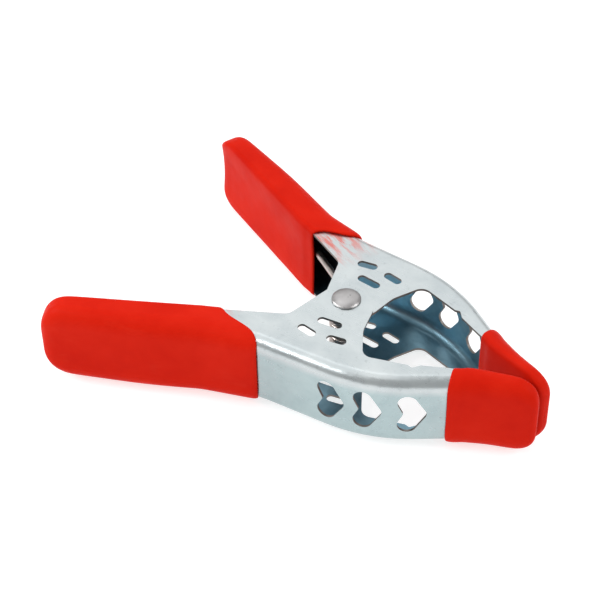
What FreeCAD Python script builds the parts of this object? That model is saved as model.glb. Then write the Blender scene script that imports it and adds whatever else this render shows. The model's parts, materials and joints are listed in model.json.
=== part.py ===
import FreeCAD, Part
import math
import os
from FreeCAD import Vector

# Sheet-metal spring clamp, lying on its side. The pivot axis is +Z through the
# origin, the jaws point to +X, and the clamp rests on the plane z = 0.
# Left means the +Y side, right the -Y side. Both arms are the same stamping,
# the right one turned over, so each arm has one ear outside the other's.
# All lengths are millimetres.

ARM_WIDTH = 28.6        # across the flanges of one arm
SHEET = 0.9             # steel sheet
BEND = 4.4              # outside radius where web and flange meet
EAR_GAP = 0.3           # free space between two ears that slide on each other
GRIP_WALL = 1.3         # vinyl of the handle sleeves
CAP_WALL = 1.3          # vinyl of the jaw caps
EAR_RADIUS = 7.8        # rounded lobe round the pivot
RIVET_RADIUS = 3.0
RIVET_HEAD = 4.9
DOME_HEIGHT = 1.8
RUNNING_FIT = 0.05      # radial play of the rivet in the moving arm
SNUG = 0.06             # between vinyl and steel
WIRE = 2.4              # spring wire diameter
COIL_RADIUS = 4.5       # to the middle of the wire
COIL_PITCH = 2.75
LEG_TURN = 54.4         # degrees from +X to where a leg leaves the coil

LIFT = SHEET + EAR_GAP              # the right arm sits this much higher
LEFT_Z = GRIP_WALL                  # underside of the left arm's steel
RIGHT_Z = LEFT_Z + LIFT
MID_Z = LEFT_Z + (ARM_WIDTH + LIFT) / 2
TOP_Z = RIGHT_Z + ARM_WIDTH         # outside of the top ear

# The web's outer face in plan for the left arm: handle, middle and jaw runs
# as (x, y, rounding radius).
WEB = [
    (-97.0, 63.03, 0.0),
    (-49.6, 45.5, 150.0),
    (-21.3, 32.07, 60.0),
    (25.45, 29.73, 58.0),
    (57.6, 8.66, 80.0),
    (86.0, 0.85, 0.0),
]
HANDLE_TURN = 155.5     # directions out of the two ends, degrees from +X
TIP_TURN = -15.4

# Free edges of the flanges in plan, from the handle's end round the ear and
# the throat to the jaw tip.
HANDLE_EDGE = (-88.0, 52.95, 0.0)
NOTCH = (-12.4, 15.75, 4.0)
THROAT = [
    (10.2, -0.4, 6.0),
    (12.2, 9.6, 10.0),
    (18.0, 19.7, 3.6),
    (32.2, 15.5, 0.8),
    (33.9, 15.9, 0.6),
    (35.9, 13.5, 1.0),
    (44.0, 9.8, 8.0),
    (58.0, 4.65, 20.0),
    (74.0, 1.8, 0.0),
]
STEEL_END = (-82.3, 54.0)
STEEL_TIP = (71.3, 3.2)

# Slots in each flange: middle, length and turn in degrees.
SLOTS = [
    (-3.3, 19.1, 7.0, 10.0),
    (1.25, 12.3, 8.6, -6.0),
    (7.2, 17.9, 6.8, -10.0),
]
SLOT_WIDTH = 3.0

# Heart-shaped windows in the web, by the x of the middle of the lobes.
HEARTS = [12.2, 24.4, 37.5]
HEART_LOBE = 3.2        # radius of a lobe
HEART_SPREAD = 4.85     # from the heart's axis to a lobe's middle
HEART_BACK = -1.15      # the lobes' middles, along the web
HEART_CLEFT = -2.4
HEART_CLEFT_RADIUS = 0.8
HEART_TIP = 5.5
HEART_TIP_RADIUS = 2.6

# The sleeves' mouths in plan; the left one is pushed on a little further.
LEFT_MOUTH = [
    (-27.9, 21.93, 0.0),
    (-24.8, 25.7, 3.5),
    (-15.6, 28.1, 4.0),
    (-13.1, 31.5, 2.0),
    (-13.1, 40.0, 0.0),
]
RIGHT_MOUTH = [
    (-33.0, 24.44, 0.0),
    (-28.6, 27.0, 6.0),
    (-17.2, 28.7, 5.0),
    (-13.9, 32.0, 2.0),
    (-13.9, 40.0, 0.0),
]


def unit(ax, ay, bx, by):
    length = math.hypot(bx - ax, by - ay)
    return (bx - ax) / length, (by - ay) / length


def offset_path(path, distance):
    """The same open path moved sideways; positive is to its left."""
    moved = []
    last = len(path) - 1
    for i, (x, y, radius) in enumerate(path):
        before = unit(*path[i - 1][:2], x, y) if i > 0 else None
        after = unit(x, y, *path[i + 1][:2]) if i < last else None
        before = before or after
        after = after or before
        cross = before[0] * after[1] - before[1] * after[0]
        half = 1 + before[0] * after[0] + before[1] * after[1]
        nx = -(before[1] + after[1]) / half
        ny = (before[0] + after[0]) / half
        if radius > 0:
            radius = radius - distance if cross > 0 else radius + distance
        moved.append((x + nx * distance, y + ny * distance, radius))
    return moved


def path_edges(path, z, closed=False):
    """Lines and tangent arcs along a path of (x, y, radius) corners."""
    count = len(path)
    cuts = []
    for i, (x, y, radius) in enumerate(path):
        here = Vector(x, y, z)
        if radius <= 0 or (not closed and i in (0, count - 1)):
            cuts.append((here, None, here))
            continue
        a = unit(x, y, *path[i - 1][:2])
        b = unit(x, y, *path[(i + 1) % count][:2])
        cosine = a[0] * b[0] + a[1] * b[1]
        half = math.acos(max(-1, min(1, cosine))) / 2
        reach = radius / math.tan(half)
        depth = radius / math.sin(half) - radius
        mx, my = a[0] + b[0], a[1] + b[1]
        size = math.hypot(mx, my)
        start = Vector(x + a[0] * reach, y + a[1] * reach, z)
        middle = Vector(x + mx / size * depth, y + my / size * depth, z)
        end = Vector(x + b[0] * reach, y + b[1] * reach, z)
        cuts.append((start, middle, end))
    edges = []
    for i, (start, middle, end) in enumerate(cuts):
        if middle is not None:
            edges.append(Part.Arc(start, middle, end).toShape())
        if i == count - 1 and not closed:
            break
        following = cuts[(i + 1) % count][0]
        if end.distanceToPoint(following) > 1e-6:
            edges.append(Part.makeLine(end, following))
    return edges


def prism(path, z0, z1):
    """A solid standing on a closed path, from z0 up to z1."""
    wire = Part.Wire(Part.__sortEdges__(path_edges(path, z0, closed=True)))
    return Part.Face(wire).extrude(Vector(0, 0, z1 - z0))


def web_block(distance, z0, z1, bend):
    """Everything inside the web's face moved outwards by distance, with the
    two long bends rounded."""
    line = offset_path(WEB, distance)
    front = line[-1]
    back = line[0]
    inside = [
        (front[0] - 4, -30.0, 0),
        (-20.0, -30.0, 0),
        (back[0] - 8, back[1] - 60, 0),
    ]
    block = prism(line + inside, z0, z1)
    rim = Part.Wire(Part.__sortEdges__(path_edges(line, z0)))
    long_edges = []
    for edge in block.Edges:
        box = edge.BoundBox
        if box.ZLength > 1e-6:
            continue
        middle = edge.valueAt((edge.FirstParameter + edge.LastParameter) / 2)
        flat = Vector(middle.x, middle.y, z0)
        if rim.distToShape(Part.Vertex(flat))[0] < 1e-4:
            long_edges.append(edge)
    return block.makeFillet(bend, long_edges)


def across(x, y, turn, profile, depth):
    """A prism that goes through the web: profile lies in the plane of the
    local web direction and z, with its zero at (x, y)."""
    solid = prism(profile, -depth / 2, depth / 2)
    solid.rotate(Vector(0, 0, 0), Vector(1, 0, 0), 90)
    solid.rotate(Vector(0, 0, 0), Vector(0, 0, 1), turn)
    solid.translate(Vector(x, y, 0))
    return solid


def round_end(solid, x, y, turn, z0, z1, radius):
    """Rounds both corners of an end, seen square to the web; the end is at
    (x, y) and turn points out of it."""
    zone = [(-radius, z0 - 5, 0), (30, z0 - 5, 0), (30, z1 + 5, 0), (-radius, z1 + 5, 0)]
    keep = [(-radius - 5, z0, 0), (0, z0, radius), (0, z1, radius), (-radius - 5, z1, 0)]
    waste = across(x, y, turn, zone, 70).cut(across(x, y, turn, keep, 90))
    return solid.cut(waste)


def web_point(x):
    """The web's outer face at x: y there and the direction in degrees."""
    line = Part.Wire(Part.__sortEdges__(path_edges(WEB, 0)))
    probe = Part.makeLine(Vector(x, -20, 0), Vector(x, 90, 0))
    near = line.distToShape(probe)[1][0][0]
    step = Part.makeLine(Vector(x + 0.05, -20, 0), Vector(x + 0.05, 90, 0))
    following = line.distToShape(step)[1][0][0]
    turn = math.degrees(math.atan2(following.y - near.y, following.x - near.x))
    return near.y, turn


def ear_tangent(x, y, side):
    """Where a line from (x, y) touches the ear's lobe."""
    angle = math.atan2(y, x)
    angle += side * math.acos(EAR_RADIUS / math.hypot(x, y))
    return EAR_RADIUS * math.cos(angle), EAR_RADIUS * math.sin(angle)


def flange_outline():
    into = ear_tangent(NOTCH[0], NOTCH[1], 1)
    out = ear_tangent(THROAT[0][0], THROAT[0][1], -1)
    path = [HANDLE_EDGE, NOTCH, (*into, 0), (*out, 0)] + THROAT
    path += [(74.0, 60.0, 0), (-40.0, 110.0, 0), (-70.0, 110.0, 0)]
    lobe = Part.makeCylinder(EAR_RADIUS, ARM_WIDTH + 4, Vector(0, 0, -2))
    return prism(path, -2, ARM_WIDTH + 2).fuse(lobe).removeSplitter()


def lobe_point(angle):
    return Vector(
        HEART_BACK + HEART_LOBE * math.cos(angle),
        HEART_SPREAD + HEART_LOBE * math.sin(angle),
        0,
    )


def heart():
    """A window with its point on +u; v is across the web."""
    length = math.hypot(HEART_TIP - HEART_BACK, HEART_SPREAD)
    front = math.acos(HEART_LOBE / length) - math.atan2(HEART_SPREAD, HEART_TIP - HEART_BACK)
    length = math.hypot(HEART_CLEFT - HEART_BACK, HEART_SPREAD)
    back = math.atan2(-HEART_SPREAD, HEART_CLEFT - HEART_BACK)
    back -= math.acos(HEART_LOBE / length)
    back += 2 * math.pi
    tip = Vector(HEART_TIP, 0, 0)
    cleft = Vector(HEART_CLEFT, 0, 0)
    upper = [
        Part.makeLine(tip, lobe_point(front)),
        Part.Arc(
            lobe_point(front), lobe_point((front + back) / 2), lobe_point(back)
        ).toShape(),
        Part.makeLine(lobe_point(back), cleft),
    ]
    mirror = [edge.mirror(Vector(0, 0, 0), Vector(0, 1, 0)) for edge in upper]
    wire = Part.Wire(Part.__sortEdges__(upper + mirror))
    solid = Part.Face(wire).extrude(Vector(0, 0, 20))
    for corner, radius in ((HEART_TIP, HEART_TIP_RADIUS), (HEART_CLEFT, HEART_CLEFT_RADIUS)):
        upright = [
            edge for edge in solid.Edges
            if all(abs(v.X - corner) + abs(v.Y) < 0.001 for v in edge.Vertexes)
        ]
        solid = solid.makeFillet(radius, upright)
    solid.translate(Vector(0, 0, -10))
    solid.rotate(Vector(0, 0, 0), Vector(1, 0, 0), 90)
    return solid


def slot(x, y, length, turn):
    half = length / 2
    radius = SLOT_WIDTH / 2 - 0.001
    path = [
        (-half, -SLOT_WIDTH / 2, radius),
        (half, -SLOT_WIDTH / 2, radius),
        (half, SLOT_WIDTH / 2, radius),
        (-half, SLOT_WIDTH / 2, radius),
    ]
    solid = prism(path, -2, ARM_WIDTH + 2)
    solid.rotate(Vector(0, 0, 0), Vector(0, 0, 1), turn)
    solid.translate(Vector(x, y, 0))
    return solid


def make_arm(hole):
    """One stamping, in the left arm's pose with its underside at z = 0."""
    channel = web_block(0, 0, ARM_WIDTH, BEND).cut(
        web_block(-SHEET, SHEET, ARM_WIDTH - SHEET, BEND - SHEET)
    )
    arm = channel.common(flange_outline())
    arm = round_end(arm, *STEEL_END, HANDLE_TURN, 0, ARM_WIDTH, 7.4)
    arm = round_end(arm, *STEEL_TIP, TIP_TURN, 0, ARM_WIDTH, 6.0)
    for x in HEARTS:
        y, turn = web_point(x)
        window = heart()
        window.rotate(Vector(0, 0, 0), Vector(0, 0, 1), turn)
        window.translate(Vector(x, y, ARM_WIDTH / 2))
        arm = arm.cut(window)
    for x, y, length, turn in SLOTS:
        arm = arm.cut(slot(x, y, length, turn))
    bore = Part.makeCylinder(hole, ARM_WIDTH + 4, Vector(0, 0, -2))
    return arm.cut(bore)


def hollow_cover(outer_path, inner_path, wall, end, turn, radius):
    """The outside and the inside of a vinyl cover over one end of an arm."""
    outer = web_block(wall, -wall, ARM_WIDTH + wall, BEND + wall)
    outer = outer.common(prism(outer_path, -9, ARM_WIDTH + 9))
    outer = round_end(outer, *end, turn, -wall, ARM_WIDTH + wall, radius)
    hollow = web_block(SNUG, -SNUG, ARM_WIDTH + SNUG, BEND + SNUG)
    hollow = hollow.common(prism(inner_path, -9, ARM_WIDTH + 9))
    short = wall + 0.2
    inner_end = (
        end[0] - short * math.cos(math.radians(turn)),
        end[1] - short * math.sin(math.radians(turn)),
    )
    hollow = round_end(hollow, *inner_end, turn, -SNUG, ARM_WIDTH + SNUG, radius - wall)
    return outer, hollow


def make_grip(mouth):
    """Handle sleeve: a tube over the channel, closed at the end, its mouth
    cut on the slant."""
    outer_path = [(-87.0, 51.0, 2.5)] + mouth + [(-57.0, 49.64, 0.0), (-83.2, 59.34, 3.5)]
    inner_path = [
        (-88.0, 52.88, 0.0),
        (5.0, 7.12, 0.0),
        (5.0, 60.0, 0.0),
        (-64.0, 105.5, 0.0),
    ]
    end = (-85.1, 55.2)
    outer, hollow = hollow_cover(outer_path, inner_path, GRIP_WALL, end, HANDLE_TURN, 8.7)
    return outer.cut(hollow)


def make_cap():
    """Jaw cap: the same kind of cover on the jaw's tip."""
    outer_path = [
        (72.15, 0.16, 0.8),
        (64.5, 1.65, 30.0),
        (50.2, 5.6, 14.0),
        (44.8, 8.7, 0.0),
        (46.8, 15.8, 0.0),
        (49.5, 25.4, 0.0),
        (66.5, 7.76, 0.0),
        (73.67, 5.61, 1.8),
    ]
    inner_path = [
        (75.0, 1.56, 0.0),
        (58.0, 4.59, 20.0),
        (44.0, 9.74, 8.0),
        (39.0, 12.1, 0.0),
        (45.0, 32.0, 0.0),
        (75.0, 24.0, 0.0),
    ]
    end = (72.9, 2.8)
    outer, hollow = hollow_cover(outer_path, inner_path, CAP_WALL, end, TIP_TURN, 7.6)
    return outer.cut(hollow)


def left(shape):
    placed = shape.copy()
    placed.translate(Vector(0, 0, LEFT_Z))
    return placed


def right(shape):
    placed = shape.copy()
    placed.rotate(Vector(0, 0, 0), Vector(1, 0, 0), 180)
    placed.translate(Vector(0, 0, RIGHT_Z + ARM_WIDTH))
    return placed


def make_rivet():
    """Domed head on top, flat set head flush with the resting plane."""
    shank = Part.makeCylinder(RIVET_RADIUS, TOP_Z - LEFT_Z, Vector(0, 0, LEFT_Z))
    rim = 0.5
    rise = DOME_HEIGHT - rim
    ball = (RIVET_HEAD**2 + rise**2) / (2 * rise)
    head = Part.makeCylinder(RIVET_HEAD, DOME_HEIGHT, Vector(0, 0, TOP_Z))
    head = head.common(Part.makeSphere(ball, Vector(0, 0, TOP_Z + DOME_HEIGHT - ball)))
    foot = Part.makeCylinder(4.6, LEFT_Z, Vector(0, 0, 0))
    foot = foot.makeChamfer(0.4, [e for e in foot.Edges if e.BoundBox.ZMax < 1e-6])
    return shank.fuse(head).fuse(foot).removeSplitter()


def make_spring():
    """Coil round the rivet; each leg presses on one handle's web."""
    turns = 6 + 2 * LEG_TURN / 360
    tall = turns * COIL_PITCH
    steps = 96
    coil = []
    for i in range(steps + 1):
        angle = math.radians(360 * turns * i / steps - LEG_TURN)
        coil.append(
            Vector(
                COIL_RADIUS * math.cos(angle),
                COIL_RADIUS * math.sin(angle),
                MID_Z + tall * (i / steps - 0.5),
            )
        )
    low_foot = Vector(-52.0, -43.3, MID_Z + 0.8)
    high_foot = Vector(-52.0, 43.3, MID_Z - 0.8)
    shares = [0.0, 0.25, 0.5, 0.75, 0.93]
    low_leg = [low_foot + (coil[0] - low_foot) * share for share in shares]
    high_leg = [high_foot + (coil[-1] - high_foot) * share for share in shares]
    path = Part.BSplineCurve()
    path.interpolate(low_leg + coil + high_leg[::-1])
    ring = Part.makeCircle(WIRE / 2, low_foot, coil[0] - low_foot)
    return Part.Wire(path.toShape()).makePipeShell([Part.Wire(ring)], True, False)


os.makedirs("parts", exist_ok=True)
cap = make_cap()
nodes = {
    "left_arm": left(make_arm(RIVET_RADIUS)),
    "right_arm": right(make_arm(RIVET_RADIUS + RUNNING_FIT)),
    "left_grip": left(make_grip(LEFT_MOUTH)),
    "right_grip": right(make_grip(RIGHT_MOUTH)),
    "left_jaw_cap": left(cap),
    "right_jaw_cap": right(cap),
    "pivot_rivet": make_rivet(),
    "torsion_spring": make_spring(),
}
for name, shape in nodes.items():
    shape.exportStep("parts/" + name + ".step")
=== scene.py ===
import json
import math

import bmesh
import bpy
from mathutils import Matrix, Vector

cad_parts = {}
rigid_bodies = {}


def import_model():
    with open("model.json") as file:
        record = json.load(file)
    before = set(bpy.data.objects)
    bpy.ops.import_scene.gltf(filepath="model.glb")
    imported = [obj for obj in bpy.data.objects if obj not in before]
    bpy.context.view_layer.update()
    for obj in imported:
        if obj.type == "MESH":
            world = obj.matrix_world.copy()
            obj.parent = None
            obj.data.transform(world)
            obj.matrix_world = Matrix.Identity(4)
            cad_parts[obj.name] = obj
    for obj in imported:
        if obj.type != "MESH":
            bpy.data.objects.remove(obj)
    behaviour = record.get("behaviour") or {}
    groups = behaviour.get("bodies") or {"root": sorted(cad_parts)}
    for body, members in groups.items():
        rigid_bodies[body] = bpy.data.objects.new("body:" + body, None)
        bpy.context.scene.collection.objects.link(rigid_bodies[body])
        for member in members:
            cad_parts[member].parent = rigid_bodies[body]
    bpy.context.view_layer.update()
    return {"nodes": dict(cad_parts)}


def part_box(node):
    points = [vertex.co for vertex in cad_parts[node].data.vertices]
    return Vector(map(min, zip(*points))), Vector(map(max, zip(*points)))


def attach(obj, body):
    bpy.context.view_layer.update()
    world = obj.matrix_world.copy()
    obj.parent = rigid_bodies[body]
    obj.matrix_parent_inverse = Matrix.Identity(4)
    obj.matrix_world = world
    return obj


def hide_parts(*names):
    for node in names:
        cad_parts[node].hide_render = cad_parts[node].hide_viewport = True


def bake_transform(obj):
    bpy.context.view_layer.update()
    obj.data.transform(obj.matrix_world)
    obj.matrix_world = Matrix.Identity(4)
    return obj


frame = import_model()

# Spring clamp lying on its side: zinc-plated pressed arms, red dipped vinyl
# on the handles and the jaws, a domed rivet and a torsion spring round it.
# Lengths are metres; the rivet's axis is +Z through the origin, the jaws
# point to +X, and left means the +Y side.

MM = 0.001
NEAR = 1e-6                 # two places closer than this are the same
NODES = frame["nodes"]


# ---------------------------------------------------------------- hand tools

def only(obj):
    """Selects this object alone and makes it the active one."""
    if bpy.context.mode != "OBJECT":
        bpy.ops.object.mode_set(mode="OBJECT")
    bpy.ops.object.select_all(action="DESELECT")
    obj.select_set(True)
    bpy.context.view_layer.objects.active = obj


def edit(obj, kind="VERT"):
    only(obj)
    bpy.ops.object.mode_set(mode="EDIT")
    bpy.ops.mesh.select_mode(type=kind)
    bpy.ops.mesh.select_all(action="DESELECT")


def pick(obj, test, kind="verts"):
    """Selects the vertices, edges or faces whose middle passes the test."""
    bpy.ops.mesh.select_all(action="DESELECT")
    mesh = bmesh.from_edit_mesh(obj.data)
    for part in getattr(mesh, kind):
        if kind == "verts":
            place = part.co
        elif kind == "edges":
            place = (part.verts[0].co + part.verts[1].co) / 2
        else:
            place = part.calc_center_median()
        if test(place, part):
            part.select_set(True)
    mesh.select_flush_mode()
    bmesh.update_edit_mesh(obj.data)


def move_each(obj, shift):
    """Moves every selected vertex by its own amount."""
    mesh = bmesh.from_edit_mesh(obj.data)
    moves = [(v.index, shift(v.co.copy())) for v in mesh.verts if v.select]
    for index, amount in moves:
        bpy.ops.mesh.select_all(action="DESELECT")
        mesh = bmesh.from_edit_mesh(obj.data)
        mesh.verts.ensure_lookup_table()
        mesh.verts[index].select_set(True)
        bmesh.update_edit_mesh(obj.data)
        bpy.ops.transform.translate(value=amount)


def done(obj, name):
    """Back to object mode, with the place in the mesh."""
    only(obj)
    bpy.ops.object.transform_apply(location=True, rotation=True, scale=True)
    obj.name = name
    obj.data.name = name
    return obj


def modify(obj, kind, **settings):
    """Adds a modifier and applies it."""
    only(obj)
    modifier = obj.modifiers.new(kind.title(), kind)
    for key, value in settings.items():
        setattr(modifier, key, value)
    bpy.ops.object.modifier_apply(modifier=modifier.name)


# ------------------------------------------------------------ vinyl covers

COVER_WALL = 1.05 * MM
SKIN = 0.12 * MM            # how far a cover's body stays inside the CAD one
END_SKIN = 0.37 * MM        # the same at its closed end
OUTER_BEND = 5.7 * MM       # long edges over the arm's two bends
INNER_BEND = 1.9 * MM       # long edges over the flanges' free edges
SIDE_ROWS = (0.06, 0.37, 0.68, 0.95)
FACE_ROWS = (-0.92, -0.5, -0.17, 0.17, 0.5, 0.92)
END_ANGLES = (16, 32, 47, 60, 71, 80, 86)
SIDES_END = 4.5 * MM        # the sides run straight on over this last length
PINCH = 0.62                # how much of the nose the sides are drawn in
FAR = 120 * MM
MISS = Vector((9, 9, 9))


def hit(node, start, toward):
    """Where a straight line from start first meets the CAD node, or MISS."""
    found, place, _, _ = NODES[node].ray_cast(start, toward.normalized())
    return place if found else MISS


def make_cover(name, node, turn, outward, first, body_cuts, end_radius, nose, sink, lip):
    """A closed vinyl tube over one end of an arm, modelled straight along X
    and then turned into place.

    outward: +1 or -1, the side of the tube's own Y that the web is on
    first: the section just past the mouth, along the tube
    body_cuts: sections between there and the rounded end
    end_radius, nose: the end's rounding, seen from the side and from above
    sink: how deep the vinyl dips between the flanges
    lip: swell of the mouth, in millimetres
    """
    low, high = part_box(node)
    middle = (low.z + high.z) / 2
    tall = (high.z - low.z) / 2 - SKIN
    along = Vector((math.cos(turn), math.sin(turn), 0))
    across = Vector((-math.sin(turn), math.cos(turn), 0)) * outward
    centre_line = Vector((0, 0, middle))

    def outer_at(s):
        base = along * s + centre_line
        return hit(node, base + across * FAR, -across).dot(across) - SKIN

    def inner_at(s):
        base = along * s + centre_line
        return hit(node, base - across * FAR, across).dot(across) + SKIN

    def last_of(face):
        """How far towards the mouth this face of the cover reaches."""
        step_back, jump = 0.3 * MM, 0.4 * MM
        s = first
        while abs(face(s - step_back) - face(s)) < jump:
            s -= step_back
        return s

    def line_on(face, s, limit, back):
        """The face's place at s, carried on straight past limit."""
        if (s - limit) * (limit - back) <= 0:
            return face(s)
        return face(limit) + (face(limit) - face(back)) / (limit - back) * (s - limit)

    half_way = (outer_at(first) + inner_at(first)) / 2
    tip = along * (2 * FAR) + across * half_way + centre_line
    end = hit(node, tip, -along).dot(along) - END_SKIN

    # One straight length of tube with its four long edges rounded.
    inner, outer = inner_at(first), outer_at(first)
    wide, step = outer - inner, 2 * MM
    bpy.ops.object.select_all(action="DESELECT")
    bpy.ops.mesh.primitive_cube_add(
        size=1,
        location=(first + step / 2, outward * half_way, middle),
        scale=(step, wide, 2 * tall),
    )
    obj = done(bpy.context.object, name)
    edit(obj, "FACE")
    pick(obj, lambda p, f: abs(f.normal.x) > 0.9, "faces")
    bpy.ops.mesh.delete(type="ONLY_FACE")
    bpy.ops.mesh.select_mode(type="EDGE")
    for level, bend, cuts in ((outer, OUTER_BEND, 6), (inner, INNER_BEND, 3)):
        pick(
            obj,
            lambda p, e: abs(p.y - outward * level) < NEAR
            and abs(abs(p.z - middle) - tall) < NEAR,
            "edges",
        )
        bpy.ops.mesh.bevel(offset=bend, segments=cuts, affect="EDGES")
    flat_in, flat_out = inner + INNER_BEND, outer - OUTER_BEND
    for share in SIDE_ROWS:
        bpy.ops.mesh.select_all(action="SELECT")
        bpy.ops.mesh.bisect(
            plane_co=(0, outward * (flat_in + (flat_out - flat_in) * share), 0),
            plane_no=(0, 1, 0),
        )
    for share in FACE_ROWS:
        bpy.ops.mesh.select_all(action="SELECT")
        bpy.ops.mesh.bisect(
            plane_co=(0, 0, middle + share * (tall - OUTER_BEND)),
            plane_no=(0, 0, 1),
        )

    # Section after section to the end, which is drawn in to a soft nose.
    bpy.ops.mesh.select_mode(type="VERT")
    here, centre, height = first + step, half_way, tall
    straight = end - end_radius
    stations = [here + (straight - here) * i / body_cuts for i in range(1, body_cuts + 1)]
    stations += [straight + end_radius * math.sin(math.radians(a)) for a in END_ANGLES]
    limit = end - SIDES_END
    for s in stations:
        into = max(0.0, s - straight) / end_radius
        new_height = tall - end_radius * (1 - math.sqrt(1 - into**2))
        curl = max(0.0, s - (end - nose)) / nose
        pinch = PINCH * nose * (1 - math.sqrt(1 - curl**2))
        outer = line_on(outer_at, s, limit, limit - 5 * MM) - pinch
        inner = line_on(inner_at, s, limit, limit - 5 * MM) + pinch
        pick(obj, lambda p, v: abs(p.x - here) < NEAR)
        bpy.ops.mesh.extrude_region_move(
            TRANSFORM_OT_translate={
                "value": (s - here, outward * ((inner + outer) / 2 - centre), 0)
            }
        )
        centre = (inner + outer) / 2
        bpy.ops.transform.resize(
            value=(1, (outer - inner) / wide, new_height / height),
            center_override=(s, outward * centre, middle),
        )
        here, wide, height = s, outer - inner, new_height
    pick(obj, lambda p, v: abs(p.x - here) < NEAR)
    bpy.ops.mesh.edge_face_add()
    bpy.ops.mesh.select_mode(type="FACE")
    pick(obj, lambda p, f: abs(p.x - here) < NEAR and len(f.verts) > 8, "faces")
    for share, rise in ((0.1, 0.07), (0.18, 0.04)):
        bpy.ops.mesh.inset(thickness=share * wide, use_boundary=True)
        bpy.ops.transform.translate(value=(rise * MM, 0, 0))
    bpy.ops.mesh.select_mode(type="VERT")

    # The vinyl over the channel's open side sinks between the flanges,
    # deepest along the middle and less towards the mouth.
    innermost = {}
    for v in bmesh.from_edit_mesh(obj.data).verts:
        key = round(v.co.x, 5)
        innermost[key] = min(innermost.get(key, 9.0), v.co.y * outward)
    pick(
        obj,
        lambda p, v: p.y * outward < innermost[round(p.x, 5)] + 0.02 * MM
        and abs(p.z - middle) < tall - OUTER_BEND
        and p.x < here + 0.02 * MM,
    )

    def dip(p):
        from_mouth = min(1.0, (p.x - first) / (14 * MM) + 0.25)
        from_middle = abs(p.z - middle) / (tall - OUTER_BEND)
        return 0, outward * sink * from_mouth * (1 - 0.75 * from_middle**2), 0

    move_each(obj, dip)

    # The mouth: three more sections that follow the CAD rim. The middle one
    # makes a slight lip and the last one closes in on the steel.
    inner_first, wide_first = inner_at(first), outer_at(first) - inner_at(first)

    def rim(p):
        """Along the tube, where the mouth's rim is for this point of a section."""
        share = (p.y * outward - inner_first) / wide_first
        depth = 0.6 * MM        # into the wall, where the line is cast
        s = mouth_limit
        for _ in range(6):
            inner = line_on(inner_at, s, inner_limit, inner_limit + 3 * MM)
            outer = line_on(outer_at, s, mouth_limit, mouth_limit + 2 * MM)
            y = inner + share * (outer - inner)
            core = Vector(((inner + outer) / 2 - y, middle - p.z))
            reach = min(1.0, depth / max(NEAR, core.length))
            start = along * (first - 70 * MM) + across * (y + core.x * reach)
            start = start + Vector((0, 0, p.z + core.y * reach))
            place = hit(node, start, along)
            s = place.dot(along) if place != MISS else s
        return s, y

    mouth_limit, inner_limit = last_of(outer_at), last_of(inner_at)
    gap_before = None
    for gap, swell in ((3.2 * MM, -0.1), (1.3 * MM, lip - 0.1), (0.15 * MM, -0.2)):
        pick(obj, lambda p, v: v.is_boundary and p.x < first + NEAR)
        bpy.ops.mesh.extrude_region_move(TRANSFORM_OT_translate={"value": (0, 0, 0)})
        if gap_before is None:
            shifts = {}
            for v in bmesh.from_edit_mesh(obj.data).verts:
                if v.select:
                    s, y = rim(v.co)
                    key = round(v.co.y, 7), round(v.co.z, 7)
                    shifts[key] = s + gap - first, outward * y - key[0], 0
            move_each(obj, lambda p: shifts[(round(p.y, 7), round(p.z, 7))])
            pick(obj, lambda p, v: v.is_boundary)
        else:
            bpy.ops.transform.translate(value=(gap - gap_before, 0, 0))
        gap_before = gap
        bpy.ops.transform.resize(
            value=(1, 1 + 2 * swell * MM / wide_first, 1 + swell * MM / tall),
            center_override=(0, outward * (inner_first + wide_first / 2), middle),
        )
    bpy.ops.mesh.select_all(action="SELECT")
    bpy.ops.mesh.normals_make_consistent(inside=False)
    only(obj)
    heart_of = Vector(((first + end) / 2, outward * half_way, middle))
    facing = sum(f.area * f.normal.dot(f.center - heart_of) for f in obj.data.polygons)
    if facing < 0:
        edit(obj)
        bpy.ops.mesh.select_all(action="SELECT")
        bpy.ops.mesh.flip_normals()
    modify(obj, "SOLIDIFY", thickness=COVER_WALL, offset=-1)
    modify(obj, "SUBSURF", levels=2, render_levels=2)
    obj.rotation_euler.z = turn
    obj = done(obj, name)
    bpy.ops.object.shade_smooth()
    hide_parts(node)
    return obj


HANDLE_TURN = math.radians(155.5)
JAW_TURN = math.radians(-24.0)
SLEEVE_END = {"body_cuts": 6, "end_radius": 9.8 * MM, "nose": 4.6 * MM}
CAP_END = {"body_cuts": 3, "end_radius": 8.0 * MM, "nose": 2.9 * MM}
left_sleeve = make_cover(
    "left_handle_sleeve", "left_grip", HANDLE_TURN, -1, 39.5 * MM,
    sink=0.75 * MM, lip=0.16, **SLEEVE_END,
)
right_sleeve = make_cover(
    "right_handle_sleeve", "right_grip", -HANDLE_TURN, 1, 45.5 * MM,
    sink=0.75 * MM, lip=0.16, **SLEEVE_END,
)
left_cap = make_cover(
    "left_jaw_cover", "left_jaw_cap", JAW_TURN, 1, 42 * MM,
    sink=0.25 * MM, lip=0.1, **CAP_END,
)
right_cap = make_cover(
    "right_jaw_cover", "right_jaw_cap", -JAW_TURN, -1, 42 * MM,
    sink=0.25 * MM, lip=0.1, **CAP_END,
)


# ------------------------------------------------------------- pressed arms

SHEET = 0.9 * MM
SHARP = math.radians(38)    # sharper edges part the skins from the cut edges


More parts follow.
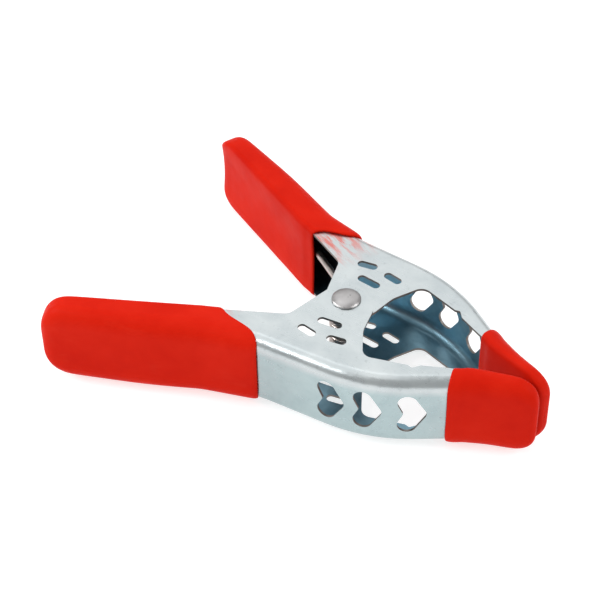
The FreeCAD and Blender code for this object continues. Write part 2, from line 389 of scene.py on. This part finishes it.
def make_arm(name, node, surface_materials):
    """The CAD stamping with its faces sorted into outer skin, inner skin and
    sheared edges, each with its own material; the inner skin's darker, bluer
    zinc is painted shade for the inside of the channel."""
    mesh = NODES[node].data.copy()
    obj = bpy.data.objects.new(name, mesh)
    bpy.context.scene.collection.objects.link(obj)
    mesh.name = name
    mesh.materials.clear()
    for surface_material in surface_materials:
        mesh.materials.append(surface_material)
    edit(obj, "EDGE")
    bpy.ops.mesh.select_all(action="SELECT")
    bpy.ops.mesh.customdata_custom_splitnormals_clear()
    bpy.ops.mesh.remove_doubles(threshold=0.004 * MM)
    bpy.ops.mesh.select_all(action="DESELECT")
    bpy.ops.mesh.edges_select_sharp(sharpness=SHARP)
    bpy.ops.mesh.mark_sharp()
    bpy.ops.mesh.select_mode(type="FACE")
    bpy.ops.mesh.select_all(action="SELECT")
    obj.active_material_index = 2
    bpy.ops.object.material_slot_assign()

    # The skins, each reached from its largest flat face at the top.
    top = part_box(node)[1].z
    for slot, level, sign in ((0, top, 1), (1, top - SHEET, -1)):
        bpy.ops.mesh.select_all(action="DESELECT")
        mesh = bmesh.from_edit_mesh(obj.data)
        flat = [
            f for f in mesh.faces
            if f.normal.z * sign > 0.99 and abs(f.calc_center_median().z - level) < 0.01 * MM
        ]
        max(flat, key=lambda f: f.calc_area()).select_set(True)
        bmesh.update_edit_mesh(obj.data)
        bpy.ops.mesh.select_linked(delimit={"SHARP"})
        obj.active_material_index = slot
        bpy.ops.object.material_slot_assign()
    obj = done(obj, name)
    bpy.ops.object.shade_smooth()
    modify(obj, "WEIGHTED_NORMAL", weight=60, keep_sharp=True)
    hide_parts(node)
    return obj


# ------------------------------------------------------------------- rivet

def turn_up(name, profile):
    """A solid turned on the rivet's axis, from the underside to the top:
    profile is (radius, height) in millimetres."""
    radius, height = profile[0]
    bpy.ops.object.select_all(action="DESELECT")
    bpy.ops.mesh.primitive_circle_add(
        vertices=64, radius=radius * MM, fill_type="NGON", location=(0, 0, height * MM)
    )
    obj = done(bpy.context.object, name)
    edit(obj, "VERT")
    bpy.ops.mesh.select_all(action="SELECT")
    for next_radius, next_height in profile[1:]:
        bpy.ops.mesh.extrude_region_move(
            TRANSFORM_OT_translate={"value": (0, 0, (next_height - height) * MM)}
        )
        share = next_radius / radius
        bpy.ops.transform.resize(
            value=(share, share, 1), center_override=(0, 0, next_height * MM)
        )
        radius, height = next_radius, next_height
    bpy.ops.mesh.select_all(action="SELECT")
    bpy.ops.mesh.normals_make_consistent(inside=False)
    return done(obj, name)


# --------------------------------------------------------------- materials

def new_material(name):
    """The material, its node tree, its shader and the Object coordinates."""
    material = bpy.data.materials.new(name)
    material.use_nodes = True
    tree = material.node_tree
    shader = tree.nodes["Principled BSDF"]
    where = tree.nodes.new("ShaderNodeTexCoord")
    return material, tree, shader, where.outputs["Object"]


def stretched(tree, place, scale, turn=0.0):
    mapping = tree.nodes.new("ShaderNodeMapping")
    mapping.inputs["Scale"].default_value = scale
    mapping.inputs["Rotation"].default_value = (0, 0, turn)
    tree.links.new(place, mapping.inputs["Vector"])
    return mapping.outputs["Vector"]


def noise(tree, place, scale, detail=3.0, roughness=0.55, distortion=0.0):
    node = tree.nodes.new("ShaderNodeTexNoise")
    node.inputs["Scale"].default_value = scale
    node.inputs["Detail"].default_value = detail
    node.inputs["Roughness"].default_value = roughness
    node.inputs["Distortion"].default_value = distortion
    tree.links.new(place, node.inputs["Vector"])
    return node.outputs["Fac"]


def ramp(tree, value, *stops):
    """A colour ramp of (position, colour or grey value)."""
    node = tree.nodes.new("ShaderNodeValToRGB")
    band = node.color_ramp
    while len(band.elements) < len(stops):
        band.elements.new(0.5)
    for element, (position, colour) in zip(band.elements, stops):
        if isinstance(colour, (int, float)):
            colour = (colour, colour, colour)
        element.position = position
        element.color = (*colour, 1)
    tree.links.new(value, node.inputs["Fac"])
    return node.outputs["Color"]


def mix(tree, share, a, b, blend="MIX"):
    """Two colours mixed; each input is a socket, a number or a colour."""
    node = tree.nodes.new("ShaderNodeMix")
    node.data_type = "RGBA"
    node.blend_type = blend
    for socket, value in ((node.inputs[0], share), (node.inputs[6], a), (node.inputs[7], b)):
        if isinstance(value, bpy.types.NodeSocket):
            tree.links.new(value, socket)
        elif isinstance(value, (int, float)):
            socket.default_value = value
        else:
            socket.default_value = (*value, 1)
    return node.outputs[2]


def bump(tree, shader, height, strength, distance, before=None):
    node = tree.nodes.new("ShaderNodeBump")
    node.inputs["Strength"].default_value = strength
    node.inputs["Distance"].default_value = distance
    tree.links.new(height, node.inputs["Height"])
    if before is not None:
        tree.links.new(before, node.inputs["Normal"])
    tree.links.new(node.outputs["Normal"], shader.inputs["Normal"])
    return node.outputs["Normal"]


def make_vinyl(name, tone=1.0):
    material, tree, shader, place = new_material(name)
    cloudy = noise(tree, place, 55, 4.0, 0.6)
    base = ramp(
        tree, cloudy,
        (0.30, (0.53 * tone, 0.010, 0.003)),
        (0.52, (0.58 * tone, 0.013, 0.004)),
        (0.75, (0.62 * tone, 0.017, 0.006)),
    )
    scuffs = noise(tree, stretched(tree, place, (40, 160, 160), 0.4), 1.0, 5.0, 0.65, 0.6)
    scuffed = ramp(tree, scuffs, (0.60, 0.0), (0.86, 0.20))
    colour = mix(tree, scuffed, base, (0.66, 0.07, 0.04))
    tree.links.new(colour, shader.inputs["Base Color"])
    patches = noise(tree, place, 130, 4.0, 0.6)
    tree.links.new(ramp(tree, patches, (0.3, 0.34), (0.75, 0.50)), shader.inputs["Roughness"])
    shader.inputs["IOR"].default_value = 1.09
    shader.inputs["Subsurface Weight"].default_value = 0.06
    shader.inputs["Subsurface Radius"].default_value = (0.003, 0.0006, 0.0004)
    shader.inputs["Subsurface Scale"].default_value = 0.5
    waves = noise(tree, place, 85, 2.0, 0.5)
    first = bump(tree, shader, waves, 0.22, 0.0012)
    bump(tree, shader, noise(tree, place, 900, 2.0, 0.5), 0.10, 0.0002, first)
    return material


def reach_along(tree, place, direction, scale=1.0):
    """How far along this direction a point lies, in metres times scale."""
    node = tree.nodes.new("ShaderNodeVectorMath")
    node.operation = "DOT_PRODUCT"
    node.inputs[1].default_value = Vector(direction) * scale
    tree.links.new(place, node.inputs[0])
    return node.outputs["Value"]


def between(tree, value, low, high):
    """0 up to low, 1 from high on, and a straight slope between them."""
    node = tree.nodes.new("ShaderNodeMapRange")
    node.inputs["From Min"].default_value = low
    node.inputs["From Max"].default_value = high
    tree.links.new(value, node.inputs["Value"])
    return node.outputs["Result"]


def arm_sheen_and_streaks(tree, place, colour):
    """The upper flats are painted lighter and more neutral than the webs, a painted
    sky reflection on the faces that look up, and red streaks lie where
    vinyl was dragged onto the left arm just outside its sleeve's mouth."""
    up = reach_along(tree, place, (0, 0, 1))
    # painted highlight: everything above 24.5 mm, the upper flats, is multiplied lighter and
    # more neutral as a painted reflection of the sky
    painted_sky_sheen = between(tree, up, 24.5 * MM, 27 * MM)
    colour = mix(tree, painted_sky_sheen, colour, (1.36, 1.19, 1.18), "MULTIPLY")

    handle = (math.cos(HANDLE_TURN), math.sin(HANDLE_TURN), 0)
    side = (-math.sin(HANDLE_TURN), math.cos(HANDLE_TURN), 0)
    strokes = tree.nodes.new("ShaderNodeCombineXYZ")
    tree.links.new(reach_along(tree, place, handle, 120), strokes.inputs["X"])
    tree.links.new(reach_along(tree, place, side, 560), strokes.inputs["Y"])
    streaks = noise(tree, strokes.outputs["Vector"], 1.0, 3.0, 0.6)
    ragged = ramp(tree, streaks, (0.44, 0.0), (0.62, 1.0))
    near_mouth = between(tree, reach_along(tree, place, handle), 13 * MM, 26 * MM)
    fading = ramp(tree, near_mouth, (0.0, 0.0), (1.0, 0.8))
    share = mix(tree, 1.0, fading, ragged, "MULTIPLY")
    return mix(tree, share, colour, (0.62, 0.12, 0.09))


def make_zinc(name, light, dark, roughness, mottle, sheen_and_marks=None):
    """Cloudy metal with fine dark specks. The optional last argument may change its colour, with
    painted sheen as well as real marks.
    """
    material, tree, shader, place = new_material(name)
    shader.inputs["Metallic"].default_value = 1.0
    clouds = noise(tree, place, 70, 5.0, 0.62, 0.3)
    colour = ramp(tree, clouds, (0.32, dark), (0.66, light))
    specks = noise(tree, place, 620, 2.0, 0.6)
    speckled = ramp(tree, specks, (0.63, 0.0), (0.76, mottle))
    colour = mix(tree, speckled, colour, tuple(0.55 * c for c in dark))
    if sheen_and_marks:
        colour = sheen_and_marks(tree, place, colour)
    tree.links.new(colour, shader.inputs["Base Color"])
    grain = noise(tree, stretched(tree, place, (90, 700, 700)), 1.0, 4.0, 0.6)
    low, high = roughness
    tree.links.new(ramp(tree, grain, (0.3, low), (0.72, high)), shader.inputs["Roughness"])
    waves = noise(tree, place, 60, 3.0, 0.55)
    first = bump(tree, shader, waves, 0.35, 0.0012)
    bump(tree, shader, grain, 0.12, 0.0002, first)
    return material


grip_vinyl = make_vinyl("red_grip_vinyl")
cap_vinyl = make_vinyl("red_cap_vinyl", 0.99)
zinc_skin = make_zinc(
    "zinc_outer_skin", (0.40, 0.490, 0.500), (0.33, 0.415, 0.430), (0.25, 0.36), 0.3,
    arm_sheen_and_streaks,
)
# painted shade: the inside of the channel gets a darker, bluer zinc than the outside, standing
# in for the shade and dark reflections inside the arm
zinc_inner_shaded = make_zinc(
    "zinc_inner_painted_shade", (0.21, 0.34, 0.41), (0.13, 0.24, 0.30), (0.30, 0.44), 0.2
)
sheared_edge = make_zinc(
    "sheared_steel_edge", (0.30, 0.27, 0.25), (0.15, 0.14, 0.13), (0.42, 0.62), 0.5
)
rivet_steel = make_zinc(
    "rivet_steel", (0.46, 0.45, 0.45), (0.26, 0.25, 0.25), (0.28, 0.48), 0.8
)
spring_steel = make_zinc(
    "spring_wire_steel", (0.60, 0.55, 0.52), (0.35, 0.31, 0.29), (0.25, 0.40), 0.4
)


def paint(obj, material):
    obj.data.materials.clear()
    obj.data.materials.append(material)


# ------------------------------------------------------------ putting it on

for side, sleeve, cover in (("left", left_sleeve, left_cap), ("right", right_sleeve, right_cap)):
    body = side + "_half"
    # the middle material, for the inner skin, is the zinc painted darker as shade
    arm = make_arm(side + "_pressed_arm", side + "_arm", (zinc_skin, zinc_inner_shaded, sheared_edge))
    paint(sleeve, grip_vinyl)
    paint(cover, cap_vinyl)
    for obj, slot in ((sleeve, "grip_vinyl"), (cover, "cap_vinyl"), (arm, "zinc_steel")):
        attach(obj, body)

ears_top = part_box("right_arm")[1].z / MM
ears_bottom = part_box("left_arm")[0].z / MM
SHANK = 3.0
DOME = [                    # radius, and height above the ears
    (4.72, 0.0), (4.88, 0.14), (4.88, 0.42), (4.72, 0.62), (4.3, 0.88), (3.6, 1.16),
    (2.7, 1.42), (1.7, 1.61), (0.8, 1.71), (0.25, 1.74),
]
rivet = turn_up(
    "domed_rivet",
    [(4.2, 0.0), (4.6, 0.4), (4.6, ears_bottom), (SHANK, ears_bottom), (SHANK, ears_top)]
    + [(radius, ears_top + height) for radius, height in DOME],
)
bpy.ops.object.shade_smooth_by_angle(angle=math.radians(32))
paint(rivet, rivet_steel)
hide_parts("pivot_rivet")
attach(rivet, "left_half")


# ------------------------------------------------------------------- spring

WIRE = 1.2 * MM             # radius
COIL = 4.5 * MM             # radius of the wire's centre line
PITCH = 2.75 * MM
LEG_TURN = math.radians(54.4)
TURNS = 6 + 2 * LEG_TURN / (2 * math.pi)
COIL_TALL = TURNS * PITCH
MID_Z = 16.2 * MM
LEG_SHARES = (0.10, 0.45, 0.42, 0.015, 0.010)   # the last two round the foot


def ring_of_wire(name, turn, height):
    """The wire's round section, upright, where the coil passes this turn."""
    bpy.ops.object.select_all(action="DESELECT")
    bpy.ops.mesh.primitive_circle_add(
        vertices=20, radius=WIRE, fill_type="NOTHING", location=(COIL, 0, height),
        rotation=(math.pi / 2, 0, 0),
    )
    obj = done(bpy.context.object, name)
    obj.rotation_euler.z = turn
    return done(obj, name)


def close_ends(wire):
    """Fills the two open ends of a length of wire, the lower one first."""
    mesh = bmesh.from_edit_mesh(wire.data)
    heights = [v.co.z for v in mesh.verts if v.is_boundary]
    middle = (min(heights) + max(heights)) / 2
    pick(wire, lambda p, v: v.is_boundary and p.z < middle)
    bpy.ops.mesh.edge_face_add()
    pick(wire, lambda p, v: v.is_boundary)
    bpy.ops.mesh.edge_face_add()
    bpy.ops.mesh.select_all(action="SELECT")
    bpy.ops.mesh.normals_make_consistent(inside=False)


low_z, high_z = MID_Z - COIL_TALL / 2, MID_Z + COIL_TALL / 2
coil = ring_of_wire("spring_coil", -LEG_TURN, low_z)
modify(
    coil, "SCREW", angle=2 * math.pi * TURNS, steps=260, render_steps=260,
    screw_offset=COIL_TALL, axis="Z",
)
legs = []
for name, turn, height, foot in (
    ("spring_leg_right", -LEG_TURN, low_z, Vector((-52.0, -43.3, 17.0)) * MM),
    ("spring_leg_left", LEG_TURN, high_z, Vector((-52.0, 43.3, 15.4)) * MM),
):
    leg = ring_of_wire(name, turn, height)
    edit(leg, "VERT")
    bpy.ops.mesh.select_all(action="SELECT")
    start = Vector((COIL * math.cos(turn), COIL * math.sin(turn), height))
    reach = foot - start
    for share in LEG_SHARES:
        bpy.ops.mesh.extrude_region_move(TRANSFORM_OT_translate={"value": reach * share})
        if share < 0.02:
            bpy.ops.transform.resize(value=(0.8, 0.8, 0.8))
    close_ends(leg)
    legs.append(done(leg, name))
    bpy.ops.object.shade_smooth_by_angle(angle=math.radians(40))

edit(coil, "VERT")
bpy.ops.mesh.select_all(action="SELECT")
bpy.ops.mesh.remove_doubles(threshold=0.001 * MM)
close_ends(coil)
done(coil, "spring_coil")
bpy.ops.object.shade_smooth_by_angle(angle=math.radians(40))
for piece in (coil, *legs):
    paint(piece, spring_steel)
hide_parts("torsion_spring")
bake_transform(coil)
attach(legs[0], "right_half")
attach(legs[1], "left_half")


# ----------------------------------------------------- floor, light, camera

bpy.ops.mesh.primitive_plane_add(size=6.0, location=(0, 0, -0.0002))
floor = bpy.context.object
floor.name = "floor"
floor_paper = bpy.data.materials.new("floor_paper")
floor_paper.use_nodes = True
paper = floor_paper.node_tree.nodes["Principled BSDF"]
paper.inputs["Base Color"].default_value = (0.52, 0.52, 0.52, 1)
paper.inputs["Roughness"].default_value = 0.9
paper.inputs["Specular IOR Level"].default_value = 0.1
paper.inputs["Emission Color"].default_value = (1, 1, 1, 1)
paper.inputs["Emission Strength"].default_value = 0.68
floor.data.materials.append(floor_paper)

world = bpy.data.worlds.new("studio")
bpy.context.scene.world = world
world.use_nodes = True
sky = world.node_tree.nodes["Background"]
sky.inputs["Color"].default_value = (1.0, 1.0, 1.0, 1)
sky.inputs["Strength"].default_value = 0.55


def softbox(name, place, aim, size, power):
    data = bpy.data.lights.new(name, "AREA")
    data.shape = "RECTANGLE"
    data.size, data.size_y = size
    data.energy = power
    lamp = bpy.data.objects.new(name, data)
    bpy.context.scene.collection.objects.link(lamp)
    lamp.location = place
    lamp.rotation_mode = "QUATERNION"
    lamp.rotation_quaternion = (Vector(aim) - Vector(place)).to_track_quat("-Z", "Y")


# Broad light for the flats, and two narrow strips for the line along the bend.
softbox("overhead_box", (-0.50, 0.85, 1.00), (0, 0, 0), (1.7, 1.5), 6.3)
softbox("zenith_box", (-0.30, -0.12, 1.20), (0, 0, 0), (1.1, 0.9), 2.4)
softbox("right_box", (1.00, 0.35, 0.95), (0, 0, 0), (0.8, 0.8), 7.0)
softbox("left_strip", (-0.80, -0.40, 0.52), (0, 0, 0.016), (0.36, 0.11), 3.2)
softbox("front_strip", (-0.38, -0.62, 0.70), (0, 0, 0.016), (0.30, 0.08), 1.8)

CAMERA_PLACE = Vector((219.632, -363.582, 431.646)) * MM
AZIMUTH = math.radians(33.1911)
ELEVATION = math.radians(43.3364)
ROLL = math.radians(-0.9063)
level = Vector((math.cos(AZIMUTH), math.sin(AZIMUTH), 0))
ahead = Vector((-math.sin(AZIMUTH), math.cos(AZIMUTH), 0))
look = ahead * math.cos(ELEVATION) - Vector((0, 0, math.sin(ELEVATION)))
up = level.cross(look)
across_view = level * math.cos(ROLL) + up * math.sin(ROLL)
up_view = up * math.cos(ROLL) - level * math.sin(ROLL)
camera = bpy.data.objects.new("camera", bpy.data.cameras.new("camera"))
bpy.context.scene.collection.objects.link(camera)
camera.data.lens = 106.57
camera.data.sensor_width = 36
camera.data.clip_start = 0.02
camera.data.clip_end = 20
turned = Matrix((across_view, up_view, -look)).transposed().to_4x4()
camera.matrix_world = Matrix.Translation(CAMERA_PLACE) @ turned
bpy.context.scene.camera = camera
bpy.context.scene.view_settings.view_transform = "Standard"
